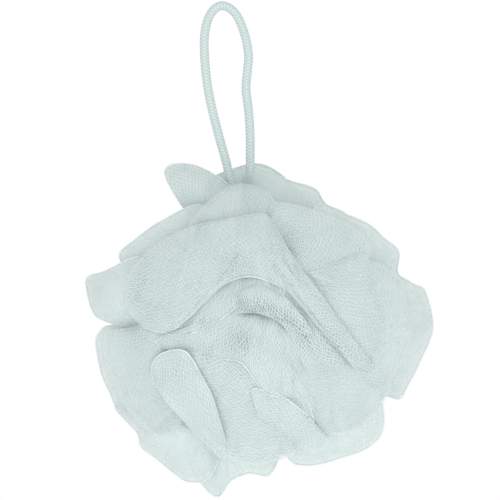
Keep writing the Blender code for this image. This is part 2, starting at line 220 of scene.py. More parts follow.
def addCord():
    path, length = cordPath()
    rings = len(path)
    bm = bmesh.new()
    bmesh.ops.create_grid(bm, x_segments=cord["sides"], y_segments=rings - 1, size=0.5)
    ahead = np.gradient(path, axis=0)
    ahead /= np.linalg.norm(ahead, axis=1)[:, None]
    side = np.zeros_like(ahead)
    side[0] = (0, 1, 0)
    for at in range(rings):              # carried along without twisting
        last = side[max(at - 1, 0)]
        side[at] = last - ahead[at] * (last @ ahead[at])
        side[at] /= np.linalg.norm(side[at])
    other = np.cross(ahead, side)
    uv = bm.loops.layers.uv.new("along")
    mapWidth, mapLength = math.pi * cord["diameter"] * cord["mapScale"], length * cord["mapScale"]
    for face in bm.faces:
        for loop in face.loops:
            spot = loop.vert.co
            loop[uv].uv = ((spot.x + 0.5) * mapWidth, (spot.y + 0.5) * mapLength)
    raised = bm.verts.layers.float.new("raised")
    for vert in bm.verts:
        at = round((vert.co.y + 0.5) * (rings - 1))
        angle = (vert.co.x + 0.5) * math.tau
        along = math.tau * at * cord["ringSpacing"] / cord["plaitLength"]
        plait = abs(math.cos(cord["columns"] / 2 * angle) + math.cos(along)) / 2
        vert[raised] = plait
        radius = cord["diameter"] / 2 + cord["plaitHeight"] * (plait - cord["plaitSunk"])
        vert.co = path[at] + radius * (side[at] * math.cos(angle) + other[at] * math.sin(angle))
    bmesh.ops.remove_doubles(bm, verts=bm.verts, dist=cord["weld"])
    bmesh.ops.holes_fill(bm, edges=[edge for edge in bm.edges if edge.is_boundary], sides=0)
    bmesh.ops.recalc_face_normals(bm, faces=bm.faces)
    piece = addPiece("braided_cord", bm, braidMaterial())
    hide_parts("hanging_cord")
    return piece


addCord()
print("cord braided")

# ball of netting: each fold is a net over a sheet of haze, with a rolled rim and its root let down
ball = {
    "radius": 0.0625,
    "depthShare": 0.92,
    "reach": 1.04,
    "wave": 0.022,
    "waves": 4,
    "pleat": 0.010,
    "pleatWidth": 0.15,
    "finePleat": 0.003,
    "finePleatWidth": 0.052,
    "pleatRoot": 0.3,                  # depth of a pleat at the fold's middle against its depth at the rim
    "pleatBend": (1.6, 9, 8),          # how far the pleats bend, and how often across and up
    "shapeTurn": (5, 9),               # sets the bends and the waves of one fold apart from the next
    "curl": 0.014,                     # how far a rim rolls in
    "curlPower": 10,
    "domePower": 2.5,
    "wavePower": 2,
    "rootLength": 0.35,
    "creaseDepth": 0.75,
    "scatter": 0.6,                    # how much the net's shade follows the ball instead of each fold
    "outerScatter": 0.3,
    "scatterRise": 2,
    "noCap": 2,
    "curveSteps": 16,
    "middleTries": 30,
    "weld": 0.00001,
}
# height on the shell, swell, dip of the root, gather that the pleats fan from, and outline,
# in hundredths of the radius
outerFolds = {
    "ear": (10, 10, 0, (5, 30), [
        (-44, 96), (-37, 102), (-21, 97), (-3, 79), (0, 53), (-21, 50), (-34, 73)]),
    "crown": (-22, 12, 0, (5, 10), [
        (-21, 88), (-5, 95), (12, 96), (26, 85), (35, 69), (23, 47), (-6, 48), (-21, 67)]),
    "rightShoulder": (5, 14, 0, (0, 0), [
        (2, 92), (13, 93), (26, 85), (41, 78), (46, 69), (58, 60), (60, 40), (37, 26), (8, 52)]),
    "rightBrow": (45, 10, 12, (10, 0), [
        (40, 68), (57, 61), (69, 54), (76, 46), (84, 37), (82, 27), (80, 18), (54, 6), (33, 37)]),
    "rightFar": (30, 14, 12, (0, 0), [
        (66, 34), (84, 22), (91, 17), (97, 12), (99, -9), (90, -26), (80, -41), (73, -47), (50, -29),
        (38, 8)]),
    "rightLow": (60, 14, 12, (10, 10), [
        (18, -22), (46, -21), (62, -40), (64, -60), (56, -71), (37, -76), (18, -78), (7, -71), (0, -39)]),
    "foot": (40, 10, 12, (-15, 0), [
        (-51, -60), (-44, -81), (-35, -91), (-26, -82), (-15, -79), (-4, -81), (3, -64), (-10, -36),
        (-37, -40)]),
    "leftFoot": (60, 12, 12, (-10, 10), [
        (-87, -31), (-82, -41), (-76, -49), (-75, -57), (-66, -66), (-58, -74), (-50, -80), (-37, -77),
        (-29, -53), (-50, -28), (-72, -22)]),
    "leftLow": (50, 14, 12, (0, 0), [
        (-94, 5), (-91, 11), (-84, 14), (-62, 8), (-33, -7), (-45, -36), (-66, -50), (-84, -37),
        (-89, -25), (-93, -12)]),
    "leftMid": (60, 12, 12, (0, 20), [
        (-96, 36), (-95, 43), (-85, 45), (-58, 51), (-27, 33), (-39, 12), (-63, 7), (-85, 16), (-93, 22)]),
    "leftUpper": (45, 14, 12, (20, 20), [
        (-75, 52), (-65, 61), (-48, 70), (-24, 76), (-8, 54), (-25, 31), (-60, 35)]),
}
faceFolds = {
    "pocket": (74, 4, 7, (-5, 20), [
        (-33, 62), (-24, 75), (-10, 84), (3, 85), (15, 77), (19, 62), (-8, 54)]),
    "mantle": (94, 4, 0, (-10, 150), [
        (-30, 65), (-14, 66), (1, 67), (12, 65), (22, 43), (36, 19), (51, -7), (63, -25), (62, -30),
        (49, -24), (32, 0), (21, 19), (8, 29), (-4, 33), (-17, 30), (-29, 21), (-39, 13), (-51, 7),
        (-65, 12), (-72, 21), (-73, 34), (-65, 48), (-48, 59)]),
    "wingLip": (89, 1, 6, (15, 85), [
        (-64, 16), (-48, 5), (-34, 6), (-23, 10), (-11, 17), (0, 24), (-1, 35), (-15, 39), (-37, 29),
        (-55, 22)]),
    "archLip": (92, 3, 2, (0, 60), [
        (-9, 24), (0, 27), (9, 25), (19, 16), (29, -2), (23, -4), (15, 6), (3, 12), (-7, 16)]),
    "hollow": (90, -1, 1, (10, 70), [
        (-23, 11), (-16, 29), (-1, 38), (21, 28), (36, 6), (50, -14), (54, -27), (41, -24), (20, -19),
        (14, 2), (2, 11), (-11, 13)]),
    "centre": (90, 1, 6, (25, 55), [
        (-59, 4), (-54, -2), (-41, -6), (-27, -10), (-13, -14), (-7, -23), (-2, -32), (5, -36),
        (12, -39), (22, -50), (30, -64), (29, -49), (24, -33), (20, -19), (20, -4), (16, 5), (4, 11),
        (-10, 14), (-21, 15), (-35, 10), (-48, 7)]),
    "tongue": (95, -1, 5, (-10, -110), [
        (-63, -13), (-59, -6), (-50, -3), (-42, -5), (-37, -15), (-31, -30), (-27, -50), (-25, -65),
        (-31, -67), (-41, -54), (-53, -37), (-61, -23)]),
    "belly": (88, 2, 6, (10, 45), [
        (-44, 0), (-16, -5), (13, -2), (21, -35), (23, -60), (3, -72), (-22, -70), (-33, -47), (-38, -26)]),
    "smallFold": (92, 0, 5, (-30, -95), [
        (-8, -31), (-2, -31), (10, -37), (22, -50), (31, -66), (17, -70), (5, -63), (-4, -51)]),
    "rightFan": (88, 3, 5, (5, 45), [
        (15, 72), (31, 69), (48, 61), (60, 53), (67, 44), (65, 35), (49, 34), (30, 31), (18, 38),
        (13, 56)]),
    "cheek": (91, -1, 5, (10, 45), [
        (27, 32), (39, 37), (54, 38), (64, 37), (68, 23), (70, 7), (71, -10), (67, -25), (60, -29),
        (50, -19), (40, -5), (32, 14)]),
    "rightEar": (88, 4, 3, (30, 0), [
        (64, 35), (81, 24), (88, 5), (81, -20), (65, -38), (50, -32), (56, -18), (62, 1), (57, 30)]),
    "leftDrape": (86, 3, 7, (-30, -15), [
        (-89, 7), (-72, 12), (-50, 10), (-47, -17), (-46, -38), (-62, -52), (-81, -31)]),
    "rightDrape": (87, 4, 4, (25, 20), [
        (18, -14), (44, -16), (66, -18), (70, -38), (54, -57), (33, -61), (22, -43)]),
}
# one sheet close behind the face, so that no gap between its folds looks deep
backFolds = {
    "backing": (80, 0, 0, (0, 90), [
        (-60, 30), (-50, 55), (-20, 66), (12, 68), (42, 58), (62, 40), (68, 10), (62, -25), (40, -52),
        (15, -62), (-15, -60), (-42, -50), (-62, -25), (-68, 5)]),
}
# from one end to the other end, height and half width of each ridge or hollow
creases = [
    (-23, 60, -4, 35, -8, 6), (-58, 47, -46, 12, -2, 7), (-37, 52, -29, 22, 2, 6),
    (30, 30, 52, -15, -5, 6), (53, 34, 57, -17, 3, 5), (21, 58, 45, 35, -4, 6), (31, 66, 59, 46, 2, 5),
    (-14, -18, -6, -62, -4, 7), (-30, -19, -20, -60, 2, 6), (4, 82, -1, 62, -3, 6),
    (-35, 98, -17, 79, 2, 5), (32, -27, 33, -66, -4, 8), (50, -29, 52, -63, 2, 6),
    (-78, -1, -75, -45, -4, 7), (-69, 56, -28, 60, -3, 6), (-92, 35, -61, 26, -3, 6),
    (-40, 6, -13, -10, 2, 6), (-24, 14, 16, -13, -3, 6),
]
# the face folds again round the back: turn about the hook's axis, tilt, side, scale
turnedFaces = [(180, 0, -1, 0.90), (112, -8, 1, 0.86), (-112, -8, -1, 0.86), (180, -75, 1, 0.74),
               (160, 60, -1, 0.77)]
innerFolds = {
    "count": 44, "reach": 0.80, "height": 0.90, "size": 0.40,
    "swell": 0.05, "lift": 0.30, "dip": 0.10, "gatherBehind": 0.85, "cap": 0.75, "corners": 18,
    "lobes": [(2, 0.20, 1), (3, 0.12, 2.3), (6, 0.07, 1)],     # number, depth and turn from fold to fold
    "liftTurn": 2.4, "swellTurn": 1.7,
}


def starMiddle(rim):
    # the spot that sees the whole rim, as far from it as can be
    edge = np.roll(rim, -1, axis=0) - rim
    across, up = np.meshgrid(*np.linspace(rim.min(axis=0), rim.max(axis=0), ball["middleTries"]).T)
    spots = np.stack([across.ravel(), up.ravel()], axis=1)
    arm = rim - spots[:, None]
    clear = (arm[:, :, 0] * edge[:, 1] - arm[:, :, 1] * edge[:, 0]) / (np.linalg.norm(edge, axis=1) + tiny)
    clear *= np.sign(clear.sum())
    return spots[clear.min(axis=1).argmax()]


def makeFold(outline, height, swell, dip, gather, facts):
    rim = smoothCurve(np.array(outline), ball["curveSteps"], True)
    middle = starMiddle(rim)
    angles = np.arctan2(*(rim - middle).T[::-1])
    order = np.argsort(angles)
    angles, radii = angles[order], np.linalg.norm(rim - middle, axis=1)[order]
    away = np.linalg.norm(rim - gather, axis=1)
    return {
        "middle": middle, "rim": rim, "height": height, "swell": swell, "dip": dip,
        "angles": np.concatenate([angles - math.tau, angles, angles + math.tau]), "radii": np.tile(radii, 3),
        "gather": np.array(gather), "near": away.min(), "far": away.max(), **facts,
    }


def rimRadius(fold, angle):
    return np.interp(angle, fold["angles"], fold["radii"])


def rimShare(fold, spots):
    # 0 in the middle of the fold and 1 at its rim
    arm = spots - fold["middle"]
    return np.linalg.norm(arm, axis=1) / rimRadius(fold, np.arctan2(arm[:, 1], arm[:, 0]))


def fromRoot(fold, spots, low, high):
    # 0 near the gather and 1 far from it
    share = (np.linalg.norm(spots - fold["gather"], axis=1) - fold["near"]) / (fold["far"] - fold["near"])
    step = np.clip((share - low) / (high - low), 0, 1)
    return step * step * (3 - 2 * step)


def creased(spots):
    out = np.zeros(len(spots))
    for *ends, height, width in creases:
        start, run = np.array(ends[:2]) / 100, (np.array(ends[2:]) - ends[:2]) / 100
        along = np.clip((spots - start) @ run / (run @ run), 0, 1)
        gap = np.linalg.norm(spots - start - along[:, None] * run, axis=1)
        out += ball["creaseDepth"] * height / 100 * np.exp(-(gap * 100 / width) ** 2)
    return out


def foldShape(fold, spots, sunk=0.0):
    # lifts flat spots of the front view on to the fold, in the ball's own radii
    arm = spots - fold["middle"]
    angle = np.arctan2(arm[:, 1], arm[:, 0])
    share = np.clip(np.linalg.norm(arm, axis=1) / rimRadius(fold, angle), 0, 1)
    shell = fold["height"] * np.sqrt(np.maximum(fold["reach"] ** 2 - (spots ** 2).sum(axis=1), 0))
    fan = spots - fold["gather"]
    turn = math.tau * np.arctan2(fan[:, 1], fan[:, 0]) * (fold["near"] + fold["far"]) / 2
    bend, bendAcross, bendUp = ball["pleatBend"]
    bendTurn, waveTurn = ball["shapeTurn"]
    uneven = bend * np.sin(bendAcross * spots[:, 0] + bendTurn * fold["height"])
    uneven += bend * np.sin(bendUp * spots[:, 1])
    depth = ball["pleatRoot"] + (1 - ball["pleatRoot"]) * share
    pleat = ball["pleat"] * depth * np.sin(turn / ball["pleatWidth"] + uneven)
    pleat += ball["finePleat"] * np.sin(turn / ball["finePleatWidth"] + 2 * uneven)
    wave = ball["wave"] * share ** ball["wavePower"] * np.cos(ball["waves"] * angle + waveTurn * fold["height"])
    dome = fold["swell"] * (1 - share ** ball["domePower"])
    out = shell + dome + wave + pleat + spots @ fold["lift"] - ball["curl"] * share ** ball["curlPower"]
    out -= fold["dip"] * (1 - fromRoot(fold, spots, 0, ball["rootLength"]))
    if fold["side"]:
        out += creased(spots * (fold["side"], 1))
    out = np.minimum(out, np.sqrt(np.maximum(fold["cap"] ** 2 - (spots ** 2).sum(axis=1), 0))) - sunk
    return np.stack([spots[:, 0], -out * ball["depthShare"], spots[:, 1]], axis=1)


def toBall(fold, points):
    low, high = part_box("waist_binding")
    middle = (np.array(low) + np.array(high)) / 2
    return middle + ball["radius"] * fold["scale"] * points @ fold["turn"].T


def tracedFolds(table, around=0, tilt=0, side=1, scale=1):
    turn = Matrix.Rotation(math.radians(around), 3, "Z") @ Matrix.Rotation(math.radians(tilt), 3, "X")
    facts = {"reach": ball["reach"], "lift": np.zeros(2), "turn": np.array(turn), "cap": ball["noCap"],
             "side": side, "scale": scale}
    folds = []
    for name, (height, swell, dip, gather, outline) in table.items():
        edge, source = (np.array(spots) * (side, 1) / 100 for spots in (outline, gather))
        fold = makeFold(edge, height / 100, swell / 100, dip / 100, source, facts)
        fold["faint"] = table is outerFolds or name in net["faintFolds"]
        fold["hemFades"] = table is faceFolds
        fold["crosswise"] = name in net["crosswise"]
        fold["rimless"] = name in rim["rimless"]
        fold["shade"] = haze["shaded"].get(name, 0)
        folds.append(fold)
    return folds


def plainFolds(plain):
    # folds that face out evenly all round the ball, each with one side lifted over the next
    folds = []
    for index in range(plain["count"]):
        up = 1 - 2 * (index + 0.5) / plain["count"]
        around = math.pi * (3 - math.sqrt(5)) * index
        level = math.sqrt(1 - up ** 2)
        facing = Vector((math.cos(around) * level, math.sin(around) * level, up))
        angle = math.tau * np.arange(plain["corners"]) / plain["corners"]
        lobes = [depth * np.cos(number * angle + turn * index) for number, depth, turn in plain["lobes"]]
        size = plain["size"] * sum(lobes, 1)
        outline = size[:, None] * np.stack([np.cos(angle), np.sin(angle)], axis=1)
        way = np.array([math.cos(plain["liftTurn"] * index), math.sin(plain["liftTurn"] * index)])
        turn = Vector((0, -1, 0)).rotation_difference(facing).to_matrix()
        facts = {"reach": plain["reach"], "lift": plain["lift"] * way, "turn": np.array(turn),
                 "cap": plain["cap"], "side": 0, "scale": 1, "faint": True, "hemFades": False,
                 "crosswise": False, "rimless": False, "shade": 0}
        swell = plain["swell"] * math.cos(plain["swellTurn"] * index)
        gather = -plain["gatherBehind"] * way
        folds.append(makeFold(outline, plain["height"], swell, plain["dip"], gather, facts))
    return folds


net = {
    "cell": 0.00078,
    "cellStretch": 1.9,                # a cell's length along the pleats against its width
    "opening": 0.15,                   # how much shorter and wider the cells get towards the rim
    "strand": 0.000078,                # half a strand's width
    "faintStrand": 0.000055,           # where the layers lie so thick that single strands hardly show
    "crosswise": ("mantle", "rightFan", "belly", "leftDrape", "rightDrape", "rightEar", "smallFold"),
    "faintFolds": ("pocket", "rightEar", "leftDrape", "rightDrape"),
    "stray": 0.20,                     # how far a knot strays from its place, against a cell
    # how far the cells sway and over what length, and the same of the bends in that sway, along and across
    "sway": [(1.3, 3.1, 1.5, 4.7), (1.1, 3.7, 1.2, 5.3)],
    "spareCells": 4,
    "span": (-1.2, 1.6),               # the net's reach past the nearest and farthest spot of the rim
    "nearest": 0.01,
    "cutAt": 0.99,                     # share of the way to the rim at which the net is cut
    "underSunk": 0.03,                 # how deep the second layer of net lies, against the radius
    "underShift": 20,                  # cells that it lies beside the first layer, against its depth
    "underCell": 0.00090,
    "colour": (0.79, 0.895, 0.876),
    "tint": (0.94, 0.95, 0.950),       # the deeper, bluer tint of the yarn against its colour
    "patches": 70,
    "yarnGrain": 5000,
    "yarnBump": 0.3,
    "yarnDepth": 0.00003,
    "roughness": 0.6,
    "roughnessSpread": 0.1,
    "sheen": 0.2,
}


def foldMesh(bm, points):
    mesh = bpy.data.meshes.new("fold")
    bm.to_mesh(mesh)
    bm.free()
    mesh.vertices.foreach_set("co", points.ravel())
    return mesh


def vertSpots(bm):
    return np.array([vert.co[:2] for vert in bm.verts])


def netMesh(fold, cell=net["cell"], sunk=0.0):
    # a net of four-sided cells that fans out from the gather, cut along the rim
    fan = fold["rim"] - fold["gather"]
    mid = (fold["near"] + fold["far"]) / 2
    mean = fan.mean(axis=0)
    turns = np.arctan2(mean[0] * fan[:, 1] - mean[1] * fan[:, 0], fan @ mean)
    wide, long = np.array([1, net["cellStretch"]][::-1 if fold["crosswise"] else 1]) * cell / ball["radius"]
    across = (turns.max() - turns.min()) * mid / wide
    along = (fold["far"] - fold["near"]) / long
    steps = math.ceil((across + along) / math.sqrt(2)) + net["spareCells"]
    bm = bmesh.new()
    bmesh.ops.create_grid(bm, x_segments=steps, y_segments=steps, size=steps / 2,
                          matrix=Matrix.Rotation(math.radians(45), 4, "Z"))
    flat = vertSpots(bm)
    flat += net["stray"] * np.random.default_rng(5).standard_normal(flat.shape) + sunk * net["underShift"]
    flat += np.stack([far * np.sin(flat[:, 1 - axis] / length + bend * np.sin(flat[:, axis] / bendLength))
                      for axis, (far, length, bend, bendLength) in enumerate(net["sway"])], axis=1)
    heading = math.atan2(mean[1], mean[0]) + (turns.max() + turns.min()) / 2
    turn = heading - flat[:, 0] * wide / mid
    half = (fold["far"] - fold["near"]) / 2
    place = np.clip(flat[:, 1] * long / half, *net["span"])
    reach = np.maximum(mid + half * (place + net["opening"] * (1 - place ** 2)), net["nearest"])
    spots = fold["gather"] + reach[:, None] * np.stack([np.cos(turn), np.sin(turn)], axis=1)
    outside = rimShare(fold, spots) > net["cutAt"]
    for vert, spot in zip(bm.verts, spots):
        vert.co = (*spot, 0)
    bmesh.ops.delete(bm, geom=[vert for vert, out in zip(list(bm.verts), outside) if out], context="VERTS")
    strand = net["faintStrand"] if fold["faint"] else net["strand"]
    strands = bmesh.ops.inset_individual(bm, faces=bm.faces, thickness=strand / ball["radius"],
                                         use_even_offset=True)["faces"]
    kept = set(strands)
    bmesh.ops.delete(bm, geom=[face for face in bm.faces if face not in kept], context="FACES")
    return foldMesh(bm, toBall(fold, foldShape(fold, vertSpots(bm), sunk)))


def netMaterial(name, colour):
    # thin nylon yarn, here and there a little paler and glossier
    material, shader = newMaterial(name, colour, net["roughness"])
    shader.inputs["Sheen Weight"].default_value = net["sheen"]
    tree = material.node_tree
    patches = addNoise(tree, net["patches"], 2)
    deep = tuple(part * share for part, share in zip(colour, net["tint"]))
    tree.links.new(addRamp(tree, patches, deep, colour, patchRange), shader.inputs["Base Color"])
    yarn = addNoise(tree, net["yarnGrain"], 1)
    smooth, rough = net["roughness"] - net["roughnessSpread"], net["roughness"] + net["roughnessSpread"]
    tree.links.new(addSpread(tree, yarn, smooth, rough), shader.inputs["Roughness"])
    tree.links.new(addBump(tree, yarn, net["yarnBump"], net["yarnDepth"]), shader.inputs["Normal"])
    return material


haze = {
    "around": 120,
    "rings": 22,
    "behindAround": 64,
    "behindRings": 8,
    "sunk": 0.010,
    "gap": (0.755, 0.866, 0.847),
    "strand": (0.78, 0.885, 0.865),
    "outerAlpha": (0.95, 0.88),        # in the middle of a fold, where the layers lie thick, and at its rim
    "faceAlpha": (0.78, 0.45),
    "innerAlpha": (1.0, 1.0),
    "thinsFrom": 0.70,
    "firmHem": 0.20,                   # how much less a fold thins towards its rim near the ball's middle
    # painted shade: the dark colour that shaded hollows and the shaded outer folds turn towards
    "inside": (0.30, 0.42, 0.42),
    # painted shade: outer folds at the top of the ball coloured darker, towards the inside colour
    "shaded": {"ear": 0.28, "crown": 0.07, "rightShoulder": 0.04, "leftUpper": 0.10},
    "patches": 45,
    "patchTint": (0.960, 0.968, 0.962),
    # across, up, reach and depth of each spot of painted shade, where hollows and gaps between the folds are
    # coloured towards the dark inside colour
    "paintedShadeSpots": [
        (-8, 18, 5, 1.0), (0, 16, 5, 1.0), (8, 13, 5, 1.0), (16, 8, 5, 1.0), (22, 2, 5, 1.0),
        (24, -6, 5, 0.9), (-12, -2, 8, 1.0), (34, -8, 9, 0.35), (-11, 42, 8, 0.35), (23, 48, 6, 0.45),
        (38, 22, 9, 0.4), (2, 74, 10, 0.3), (-69, 6, 8, 0.45), (-18, -19, 9, 0.25), (37, -27, 12, 0.22),
        (-30, 9, 3, 0.8), (36, 6, 6, 0.25), (42, -5, 6, 0.4), (48, -14, 6, 0.4), (54, -22, 6, 0.3),
        (-47, -15, 8, 0.3), (-30, -7, 5, 0.5), (22, 45, 18, 0.2), (-8, 32, 16, 0.12), (8, -8, 18, 0.1),
    ],
    "roughness": 0.8,
    "sheen": 0.4,
    "sheenRoughness": 0.6,
    "strandRange": (0.55, 0.95),
    "distortion": 1.6,
    "detailScale": 0.35,
    "bump": 0.3,
    "bumpDepth": 0.0002,
    "cell": 0.00080,
    "cellStretch": 2.0,
}
bandWidth = math.tau / 10 / math.sqrt(2)        # of a diagonal band in a wave texture of scale 1
rim = {
    "sides": 5,
    "thick": 0.00050,
    "raised": 0.003,
    "around": 110,
    "behindAround": 64,
    # paler than the net: partly the doubled net of the rolled edge, partly painted highlight along the edge
    "colour": (0.87, 0.955, 0.94),
    "fadeFrom": 0.56,                  # a rim of the face gets thinner from here outwards, in radii
    "fadeTo": 0.72,
    "fullFrom": (0.1, 0.5),            # where it grows to its full thickness, from the root out
    "rimless": ("hollow", "archLip"),
}


def rolledGrid(around, rings):
    # an open grid whose x runs round the fold and whose y runs from 0 to 1
    bm = bmesh.new()
    bmesh.ops.create_grid(bm, x_segments=around, y_segments=rings, size=0.5,
                          matrix=Matrix.Translation((0.5, 0.5, 0)))
    return bm


def weldedMesh(bm, points):
    mesh = foldMesh(bm, points)
    bm = bmesh.new()
    bm.from_mesh(mesh)
    bmesh.ops.remove_doubles(bm, verts=bm.verts, dist=ball["weld"])
    bm.to_mesh(mesh)
    bm.free()
    return mesh


def paintedShadeAt(spots):
    # how much painted shade a spot gets, in hollows and gaps between the folds
    out = np.zeros(len(spots))
    for x, up, reach, depth in haze["paintedShadeSpots"]:
        out += depth * np.exp(-((spots - (x / 100, up / 100)) ** 2).sum(axis=1) * (100 / reach) ** 2)
    return np.clip(out, 0, 1)


def outward(spots):
    # 0 near the ball's middle and 1 near its outline, as seen from the front
    return np.clip((np.linalg.norm(spots, axis=1) - rim["fadeFrom"]) / (rim["fadeTo"] - rim["fadeFrom"]), 0, 1)


def wrapped(angle):
    return (angle + math.pi) % math.tau - math.pi


def hazeMesh(fold, around, rings):
    # the layers of net under the outer one, run together, with the place on the net as its map
    bm = rolledGrid(around, rings)
    flat = vertSpots(bm)
    angle = -flat[:, 0] * math.tau
    arm = np.stack([np.cos(angle), np.sin(angle)], axis=1)
    spots = fold["middle"] + (flat[:, 1] * rimRadius(fold, wrapped(angle)))[:, None] * arm
    fan = spots - fold["gather"]
    mean = fan.mean(axis=0)
    turn = np.arctan2(mean[0] * fan[:, 1] - mean[1] * fan[:, 0], fan @ mean) * (fold["near"] + fold["far"]) / 2
    places = np.stack([turn, np.linalg.norm(fan, axis=1) / haze["cellStretch"]], axis=1)
    places *= ball["radius"] / haze["cell"]
    uv = bm.loops.layers.uv.new("net")
    share = bm.verts.layers.float.new("share")
    bm.verts.index_update()
    for face in bm.faces:
        for loop in face.loops:
            loop[uv].uv = places[loop.vert.index]
    # painted shade: a level per vertex, from the shade spots on face folds or even over the darker outer folds
    deep = bm.verts.layers.float.new("deep")
    paintedShades = paintedShadeAt(spots * (fold["side"], 1)) if fold["hemFades"] else np.full(len(spots), fold["shade"])
    thins = flat[:, 1] * (1 - haze["firmHem"] * (1 - outward(spots))) if fold["hemFades"] else flat[:, 1]
    for vert, depth, thin in zip(bm.verts, paintedShades, thins):
        vert[share] = thin
        vert[deep] = depth
    return weldedMesh(bm, toBall(fold, foldShape(fold, spots, haze["sunk"])))


def rimMesh(fold, around):
    # the rolled edge of a fold, where the net lies double, thinner towards the root
    bm = rolledGrid(around, rim["sides"])
    flat = vertSpots(bm)
    angle = flat[:, 0] * math.tau
    arm = np.stack([np.cos(angle), np.sin(angle)], axis=1)
    spots = fold["middle"] + rimRadius(fold, wrapped(angle))[:, None] * arm
    points = foldShape(fold, spots, -rim["raised"])
    roll = flat[:, 1] * math.tau
    thick = rim["thick"] / 2 / ball["radius"] * (fromRoot(fold, spots, *rim["fullFrom"]) if fold["dip"] else 1)
    if fold["hemFades"]:
        thick = thick * (1 - outward(spots))
    points += (thick * np.stack([np.cos(roll) * arm[:, 0], -np.sin(roll), np.cos(roll) * arm[:, 1]])).T
    return weldedMesh(bm, toBall(fold, points))


def hazeMaterial(name, alpha):
    material, shader = newMaterial(name, haze["gap"], haze["roughness"])
    shader.inputs["Sheen Weight"].default_value = haze["sheen"]
    shader.inputs["Sheen Roughness"].default_value = haze["sheenRoughness"]
    tree = material.node_tree
    uv = tree.nodes.new("ShaderNodeUVMap")
    uv.uv_map = "net"
    lines = []
    for mirrored in (1, -1):
        lay = tree.nodes.new("ShaderNodeMapping")
        lay.inputs["Scale"].default_value = (mirrored, 1, 1)
        strand = tree.nodes.new("ShaderNodeTexWave")
        strand.bands_direction = "DIAGONAL"
        strand.inputs["Scale"].default_value = bandWidth
        strand.inputs["Distortion"].default_value = haze["distortion"]
        strand.inputs["Detail"].default_value = 1
        strand.inputs["Detail Scale"].default_value = haze["detailScale"]
        tree.links.new(uv.outputs["UV"], lay.inputs["Vector"])
        tree.links.new(lay.outputs["Vector"], strand.inputs["Vector"])
        lines.append(strand)
    both = tree.nodes.new("ShaderNodeMath")
    both.operation = "MAXIMUM"
    for line, socket in zip(lines, both.inputs):
        tree.links.new(line.outputs["Fac"], socket)
    level = both.outputs["Value"]
    layers = addRamp(tree, level, haze["gap"], haze["strand"], haze["strandRange"])
    # painted shade: the dark inside colour under the strands, mixed in by the deep attribute
    paintedShadeColours = addRamp(tree, level, haze["inside"], haze["gap"], haze["strandRange"])
    deep = tree.nodes.new("ShaderNodeAttribute")
    deep.attribute_name = "deep"
    blend = tree.nodes.new("ShaderNodeMix")
    blend.data_type = "RGBA"
    tree.links.new(deep.outputs["Fac"], blend.inputs[0])
    tree.links.new(layers, blend.inputs[6])
    tree.links.new(paintedShadeColours, blend.inputs[7])
    tinted = tree.nodes.new("ShaderNodeMix")
    tinted.data_type = "RGBA"
    tinted.blend_type = "MULTIPLY"
    tinted.inputs[0].default_value = 1
    patches = addRamp(tree, addNoise(tree, haze["patches"], 2), haze["patchTint"], (1, 1, 1), patchRange)
    tree.links.new(blend.outputs[2], tinted.inputs[6])
    tree.links.new(patches, tinted.inputs[7])
    tree.links.new(tinted.outputs[2], shader.inputs["Base Color"])
    tree.links.new(addBump(tree, level, haze["bump"], haze["bumpDepth"]), shader.inputs["Normal"])
    if alpha[0] == alpha[1]:
        shader.inputs["Alpha"].default_value = alpha[0]
        return material
    share = tree.nodes.new("ShaderNodeAttribute")
    share.attribute_name = "share"
    thin = tree.nodes.new("ShaderNodeMapRange")
    thin.interpolation_type = "SMOOTHSTEP"
    thin.inputs["From Min"].default_value = haze["thinsFrom"]
    thin.inputs["To Min"].default_value = alpha[0]
    thin.inputs["To Max"].default_value = alpha[1]
    tree.links.new(share.outputs["Fac"], thin.inputs["Value"])
    tree.links.new(thin.outputs["Result"], shader.inputs["Alpha"])
    return material


def softenShade(piece):
    # net scatters the light, so its shade follows the ball more than each fold
    low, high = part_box("waist_binding")
    middle = (np.array(low) + np.array(high)) / 2
    mesh = piece.data
    spots = np.empty(len(mesh.vertices) * 3)
    mesh.vertices.foreach_get("co", spots)
    facing = np.empty(len(mesh.vertices) * 3)
    mesh.vertex_normals.foreach_get("vector", facing)
    away = spots.reshape(-1, 3) - middle
    away /= np.linalg.norm(away, axis=1)[:, None] + tiny
    scatter = ball["outerScatter"] if "outer" in piece.name else ball["scatter"]
    facing = facing.reshape(-1, 3)
    scatter *= np.clip(ball["scatterRise"] * (facing * away).sum(axis=1), 0, 1)[:, None]
    mixed = (1 - scatter) * facing + scatter * away
    mixed /= np.linalg.norm(mixed, axis=1)[:, None] + tiny
    mesh.normals_split_custom_set_from_vertices(mixed)


def gathered(meshes):
    bm = bmesh.new()
    for mesh in meshes:
        bm.from_mesh(mesh)
        bpy.data.meshes.remove(mesh)
    return bm


core = {
    "radius": 0.66,
    "finest": 6,
    "pleats": 26,
    "pleat": 0.02,
    "lump": 0.03,
    "lumps": (5, 7),
    "deep": (0.72, 0.83, 0.815),
    "colour": (0.78, 0.88, 0.865),
    "crushed": 900,
    "crushedRange": (0.4, 0.6),
    "bump": 0.5,
    "bumpDepth": 0.0004,
    "roughness": 0.85,
}


def addCore():
    low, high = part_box("waist_binding")
    middle = (Vector(low) + Vector(high)) / 2
    bm = bmesh.new()
    bmesh.ops.create_icosphere(bm, subdivisions=core["finest"], radius=core["radius"] * ball["radius"])
    for vert in bm.verts:
        way = vert.co.normalized()
        pleat = core["pleat"] * math.sin(core["pleats"] * math.atan2(way.z, way.x))
        vert.co *= 1 + pleat + core["lump"] * math.sin(core["lumps"][0] * way.y + core["lumps"][1] * way.z)
    bmesh.ops.translate(bm, vec=middle, verts=bm.verts)
    material, shader = newMaterial("gatheredNet", core["colour"], core["roughness"])
    tree = material.node_tree
    crushed = addNoise(tree, core["crushed"], 3)
    tree.links.new(addRamp(tree, crushed, core["deep"], core["colour"], core["crushedRange"]),
                   shader.inputs["Base Color"])
    tree.links.new(addBump(tree, crushed, core["bump"], core["bumpDepth"]), shader.inputs["Normal"])
    return addPiece("netting_gathers", bm, material)


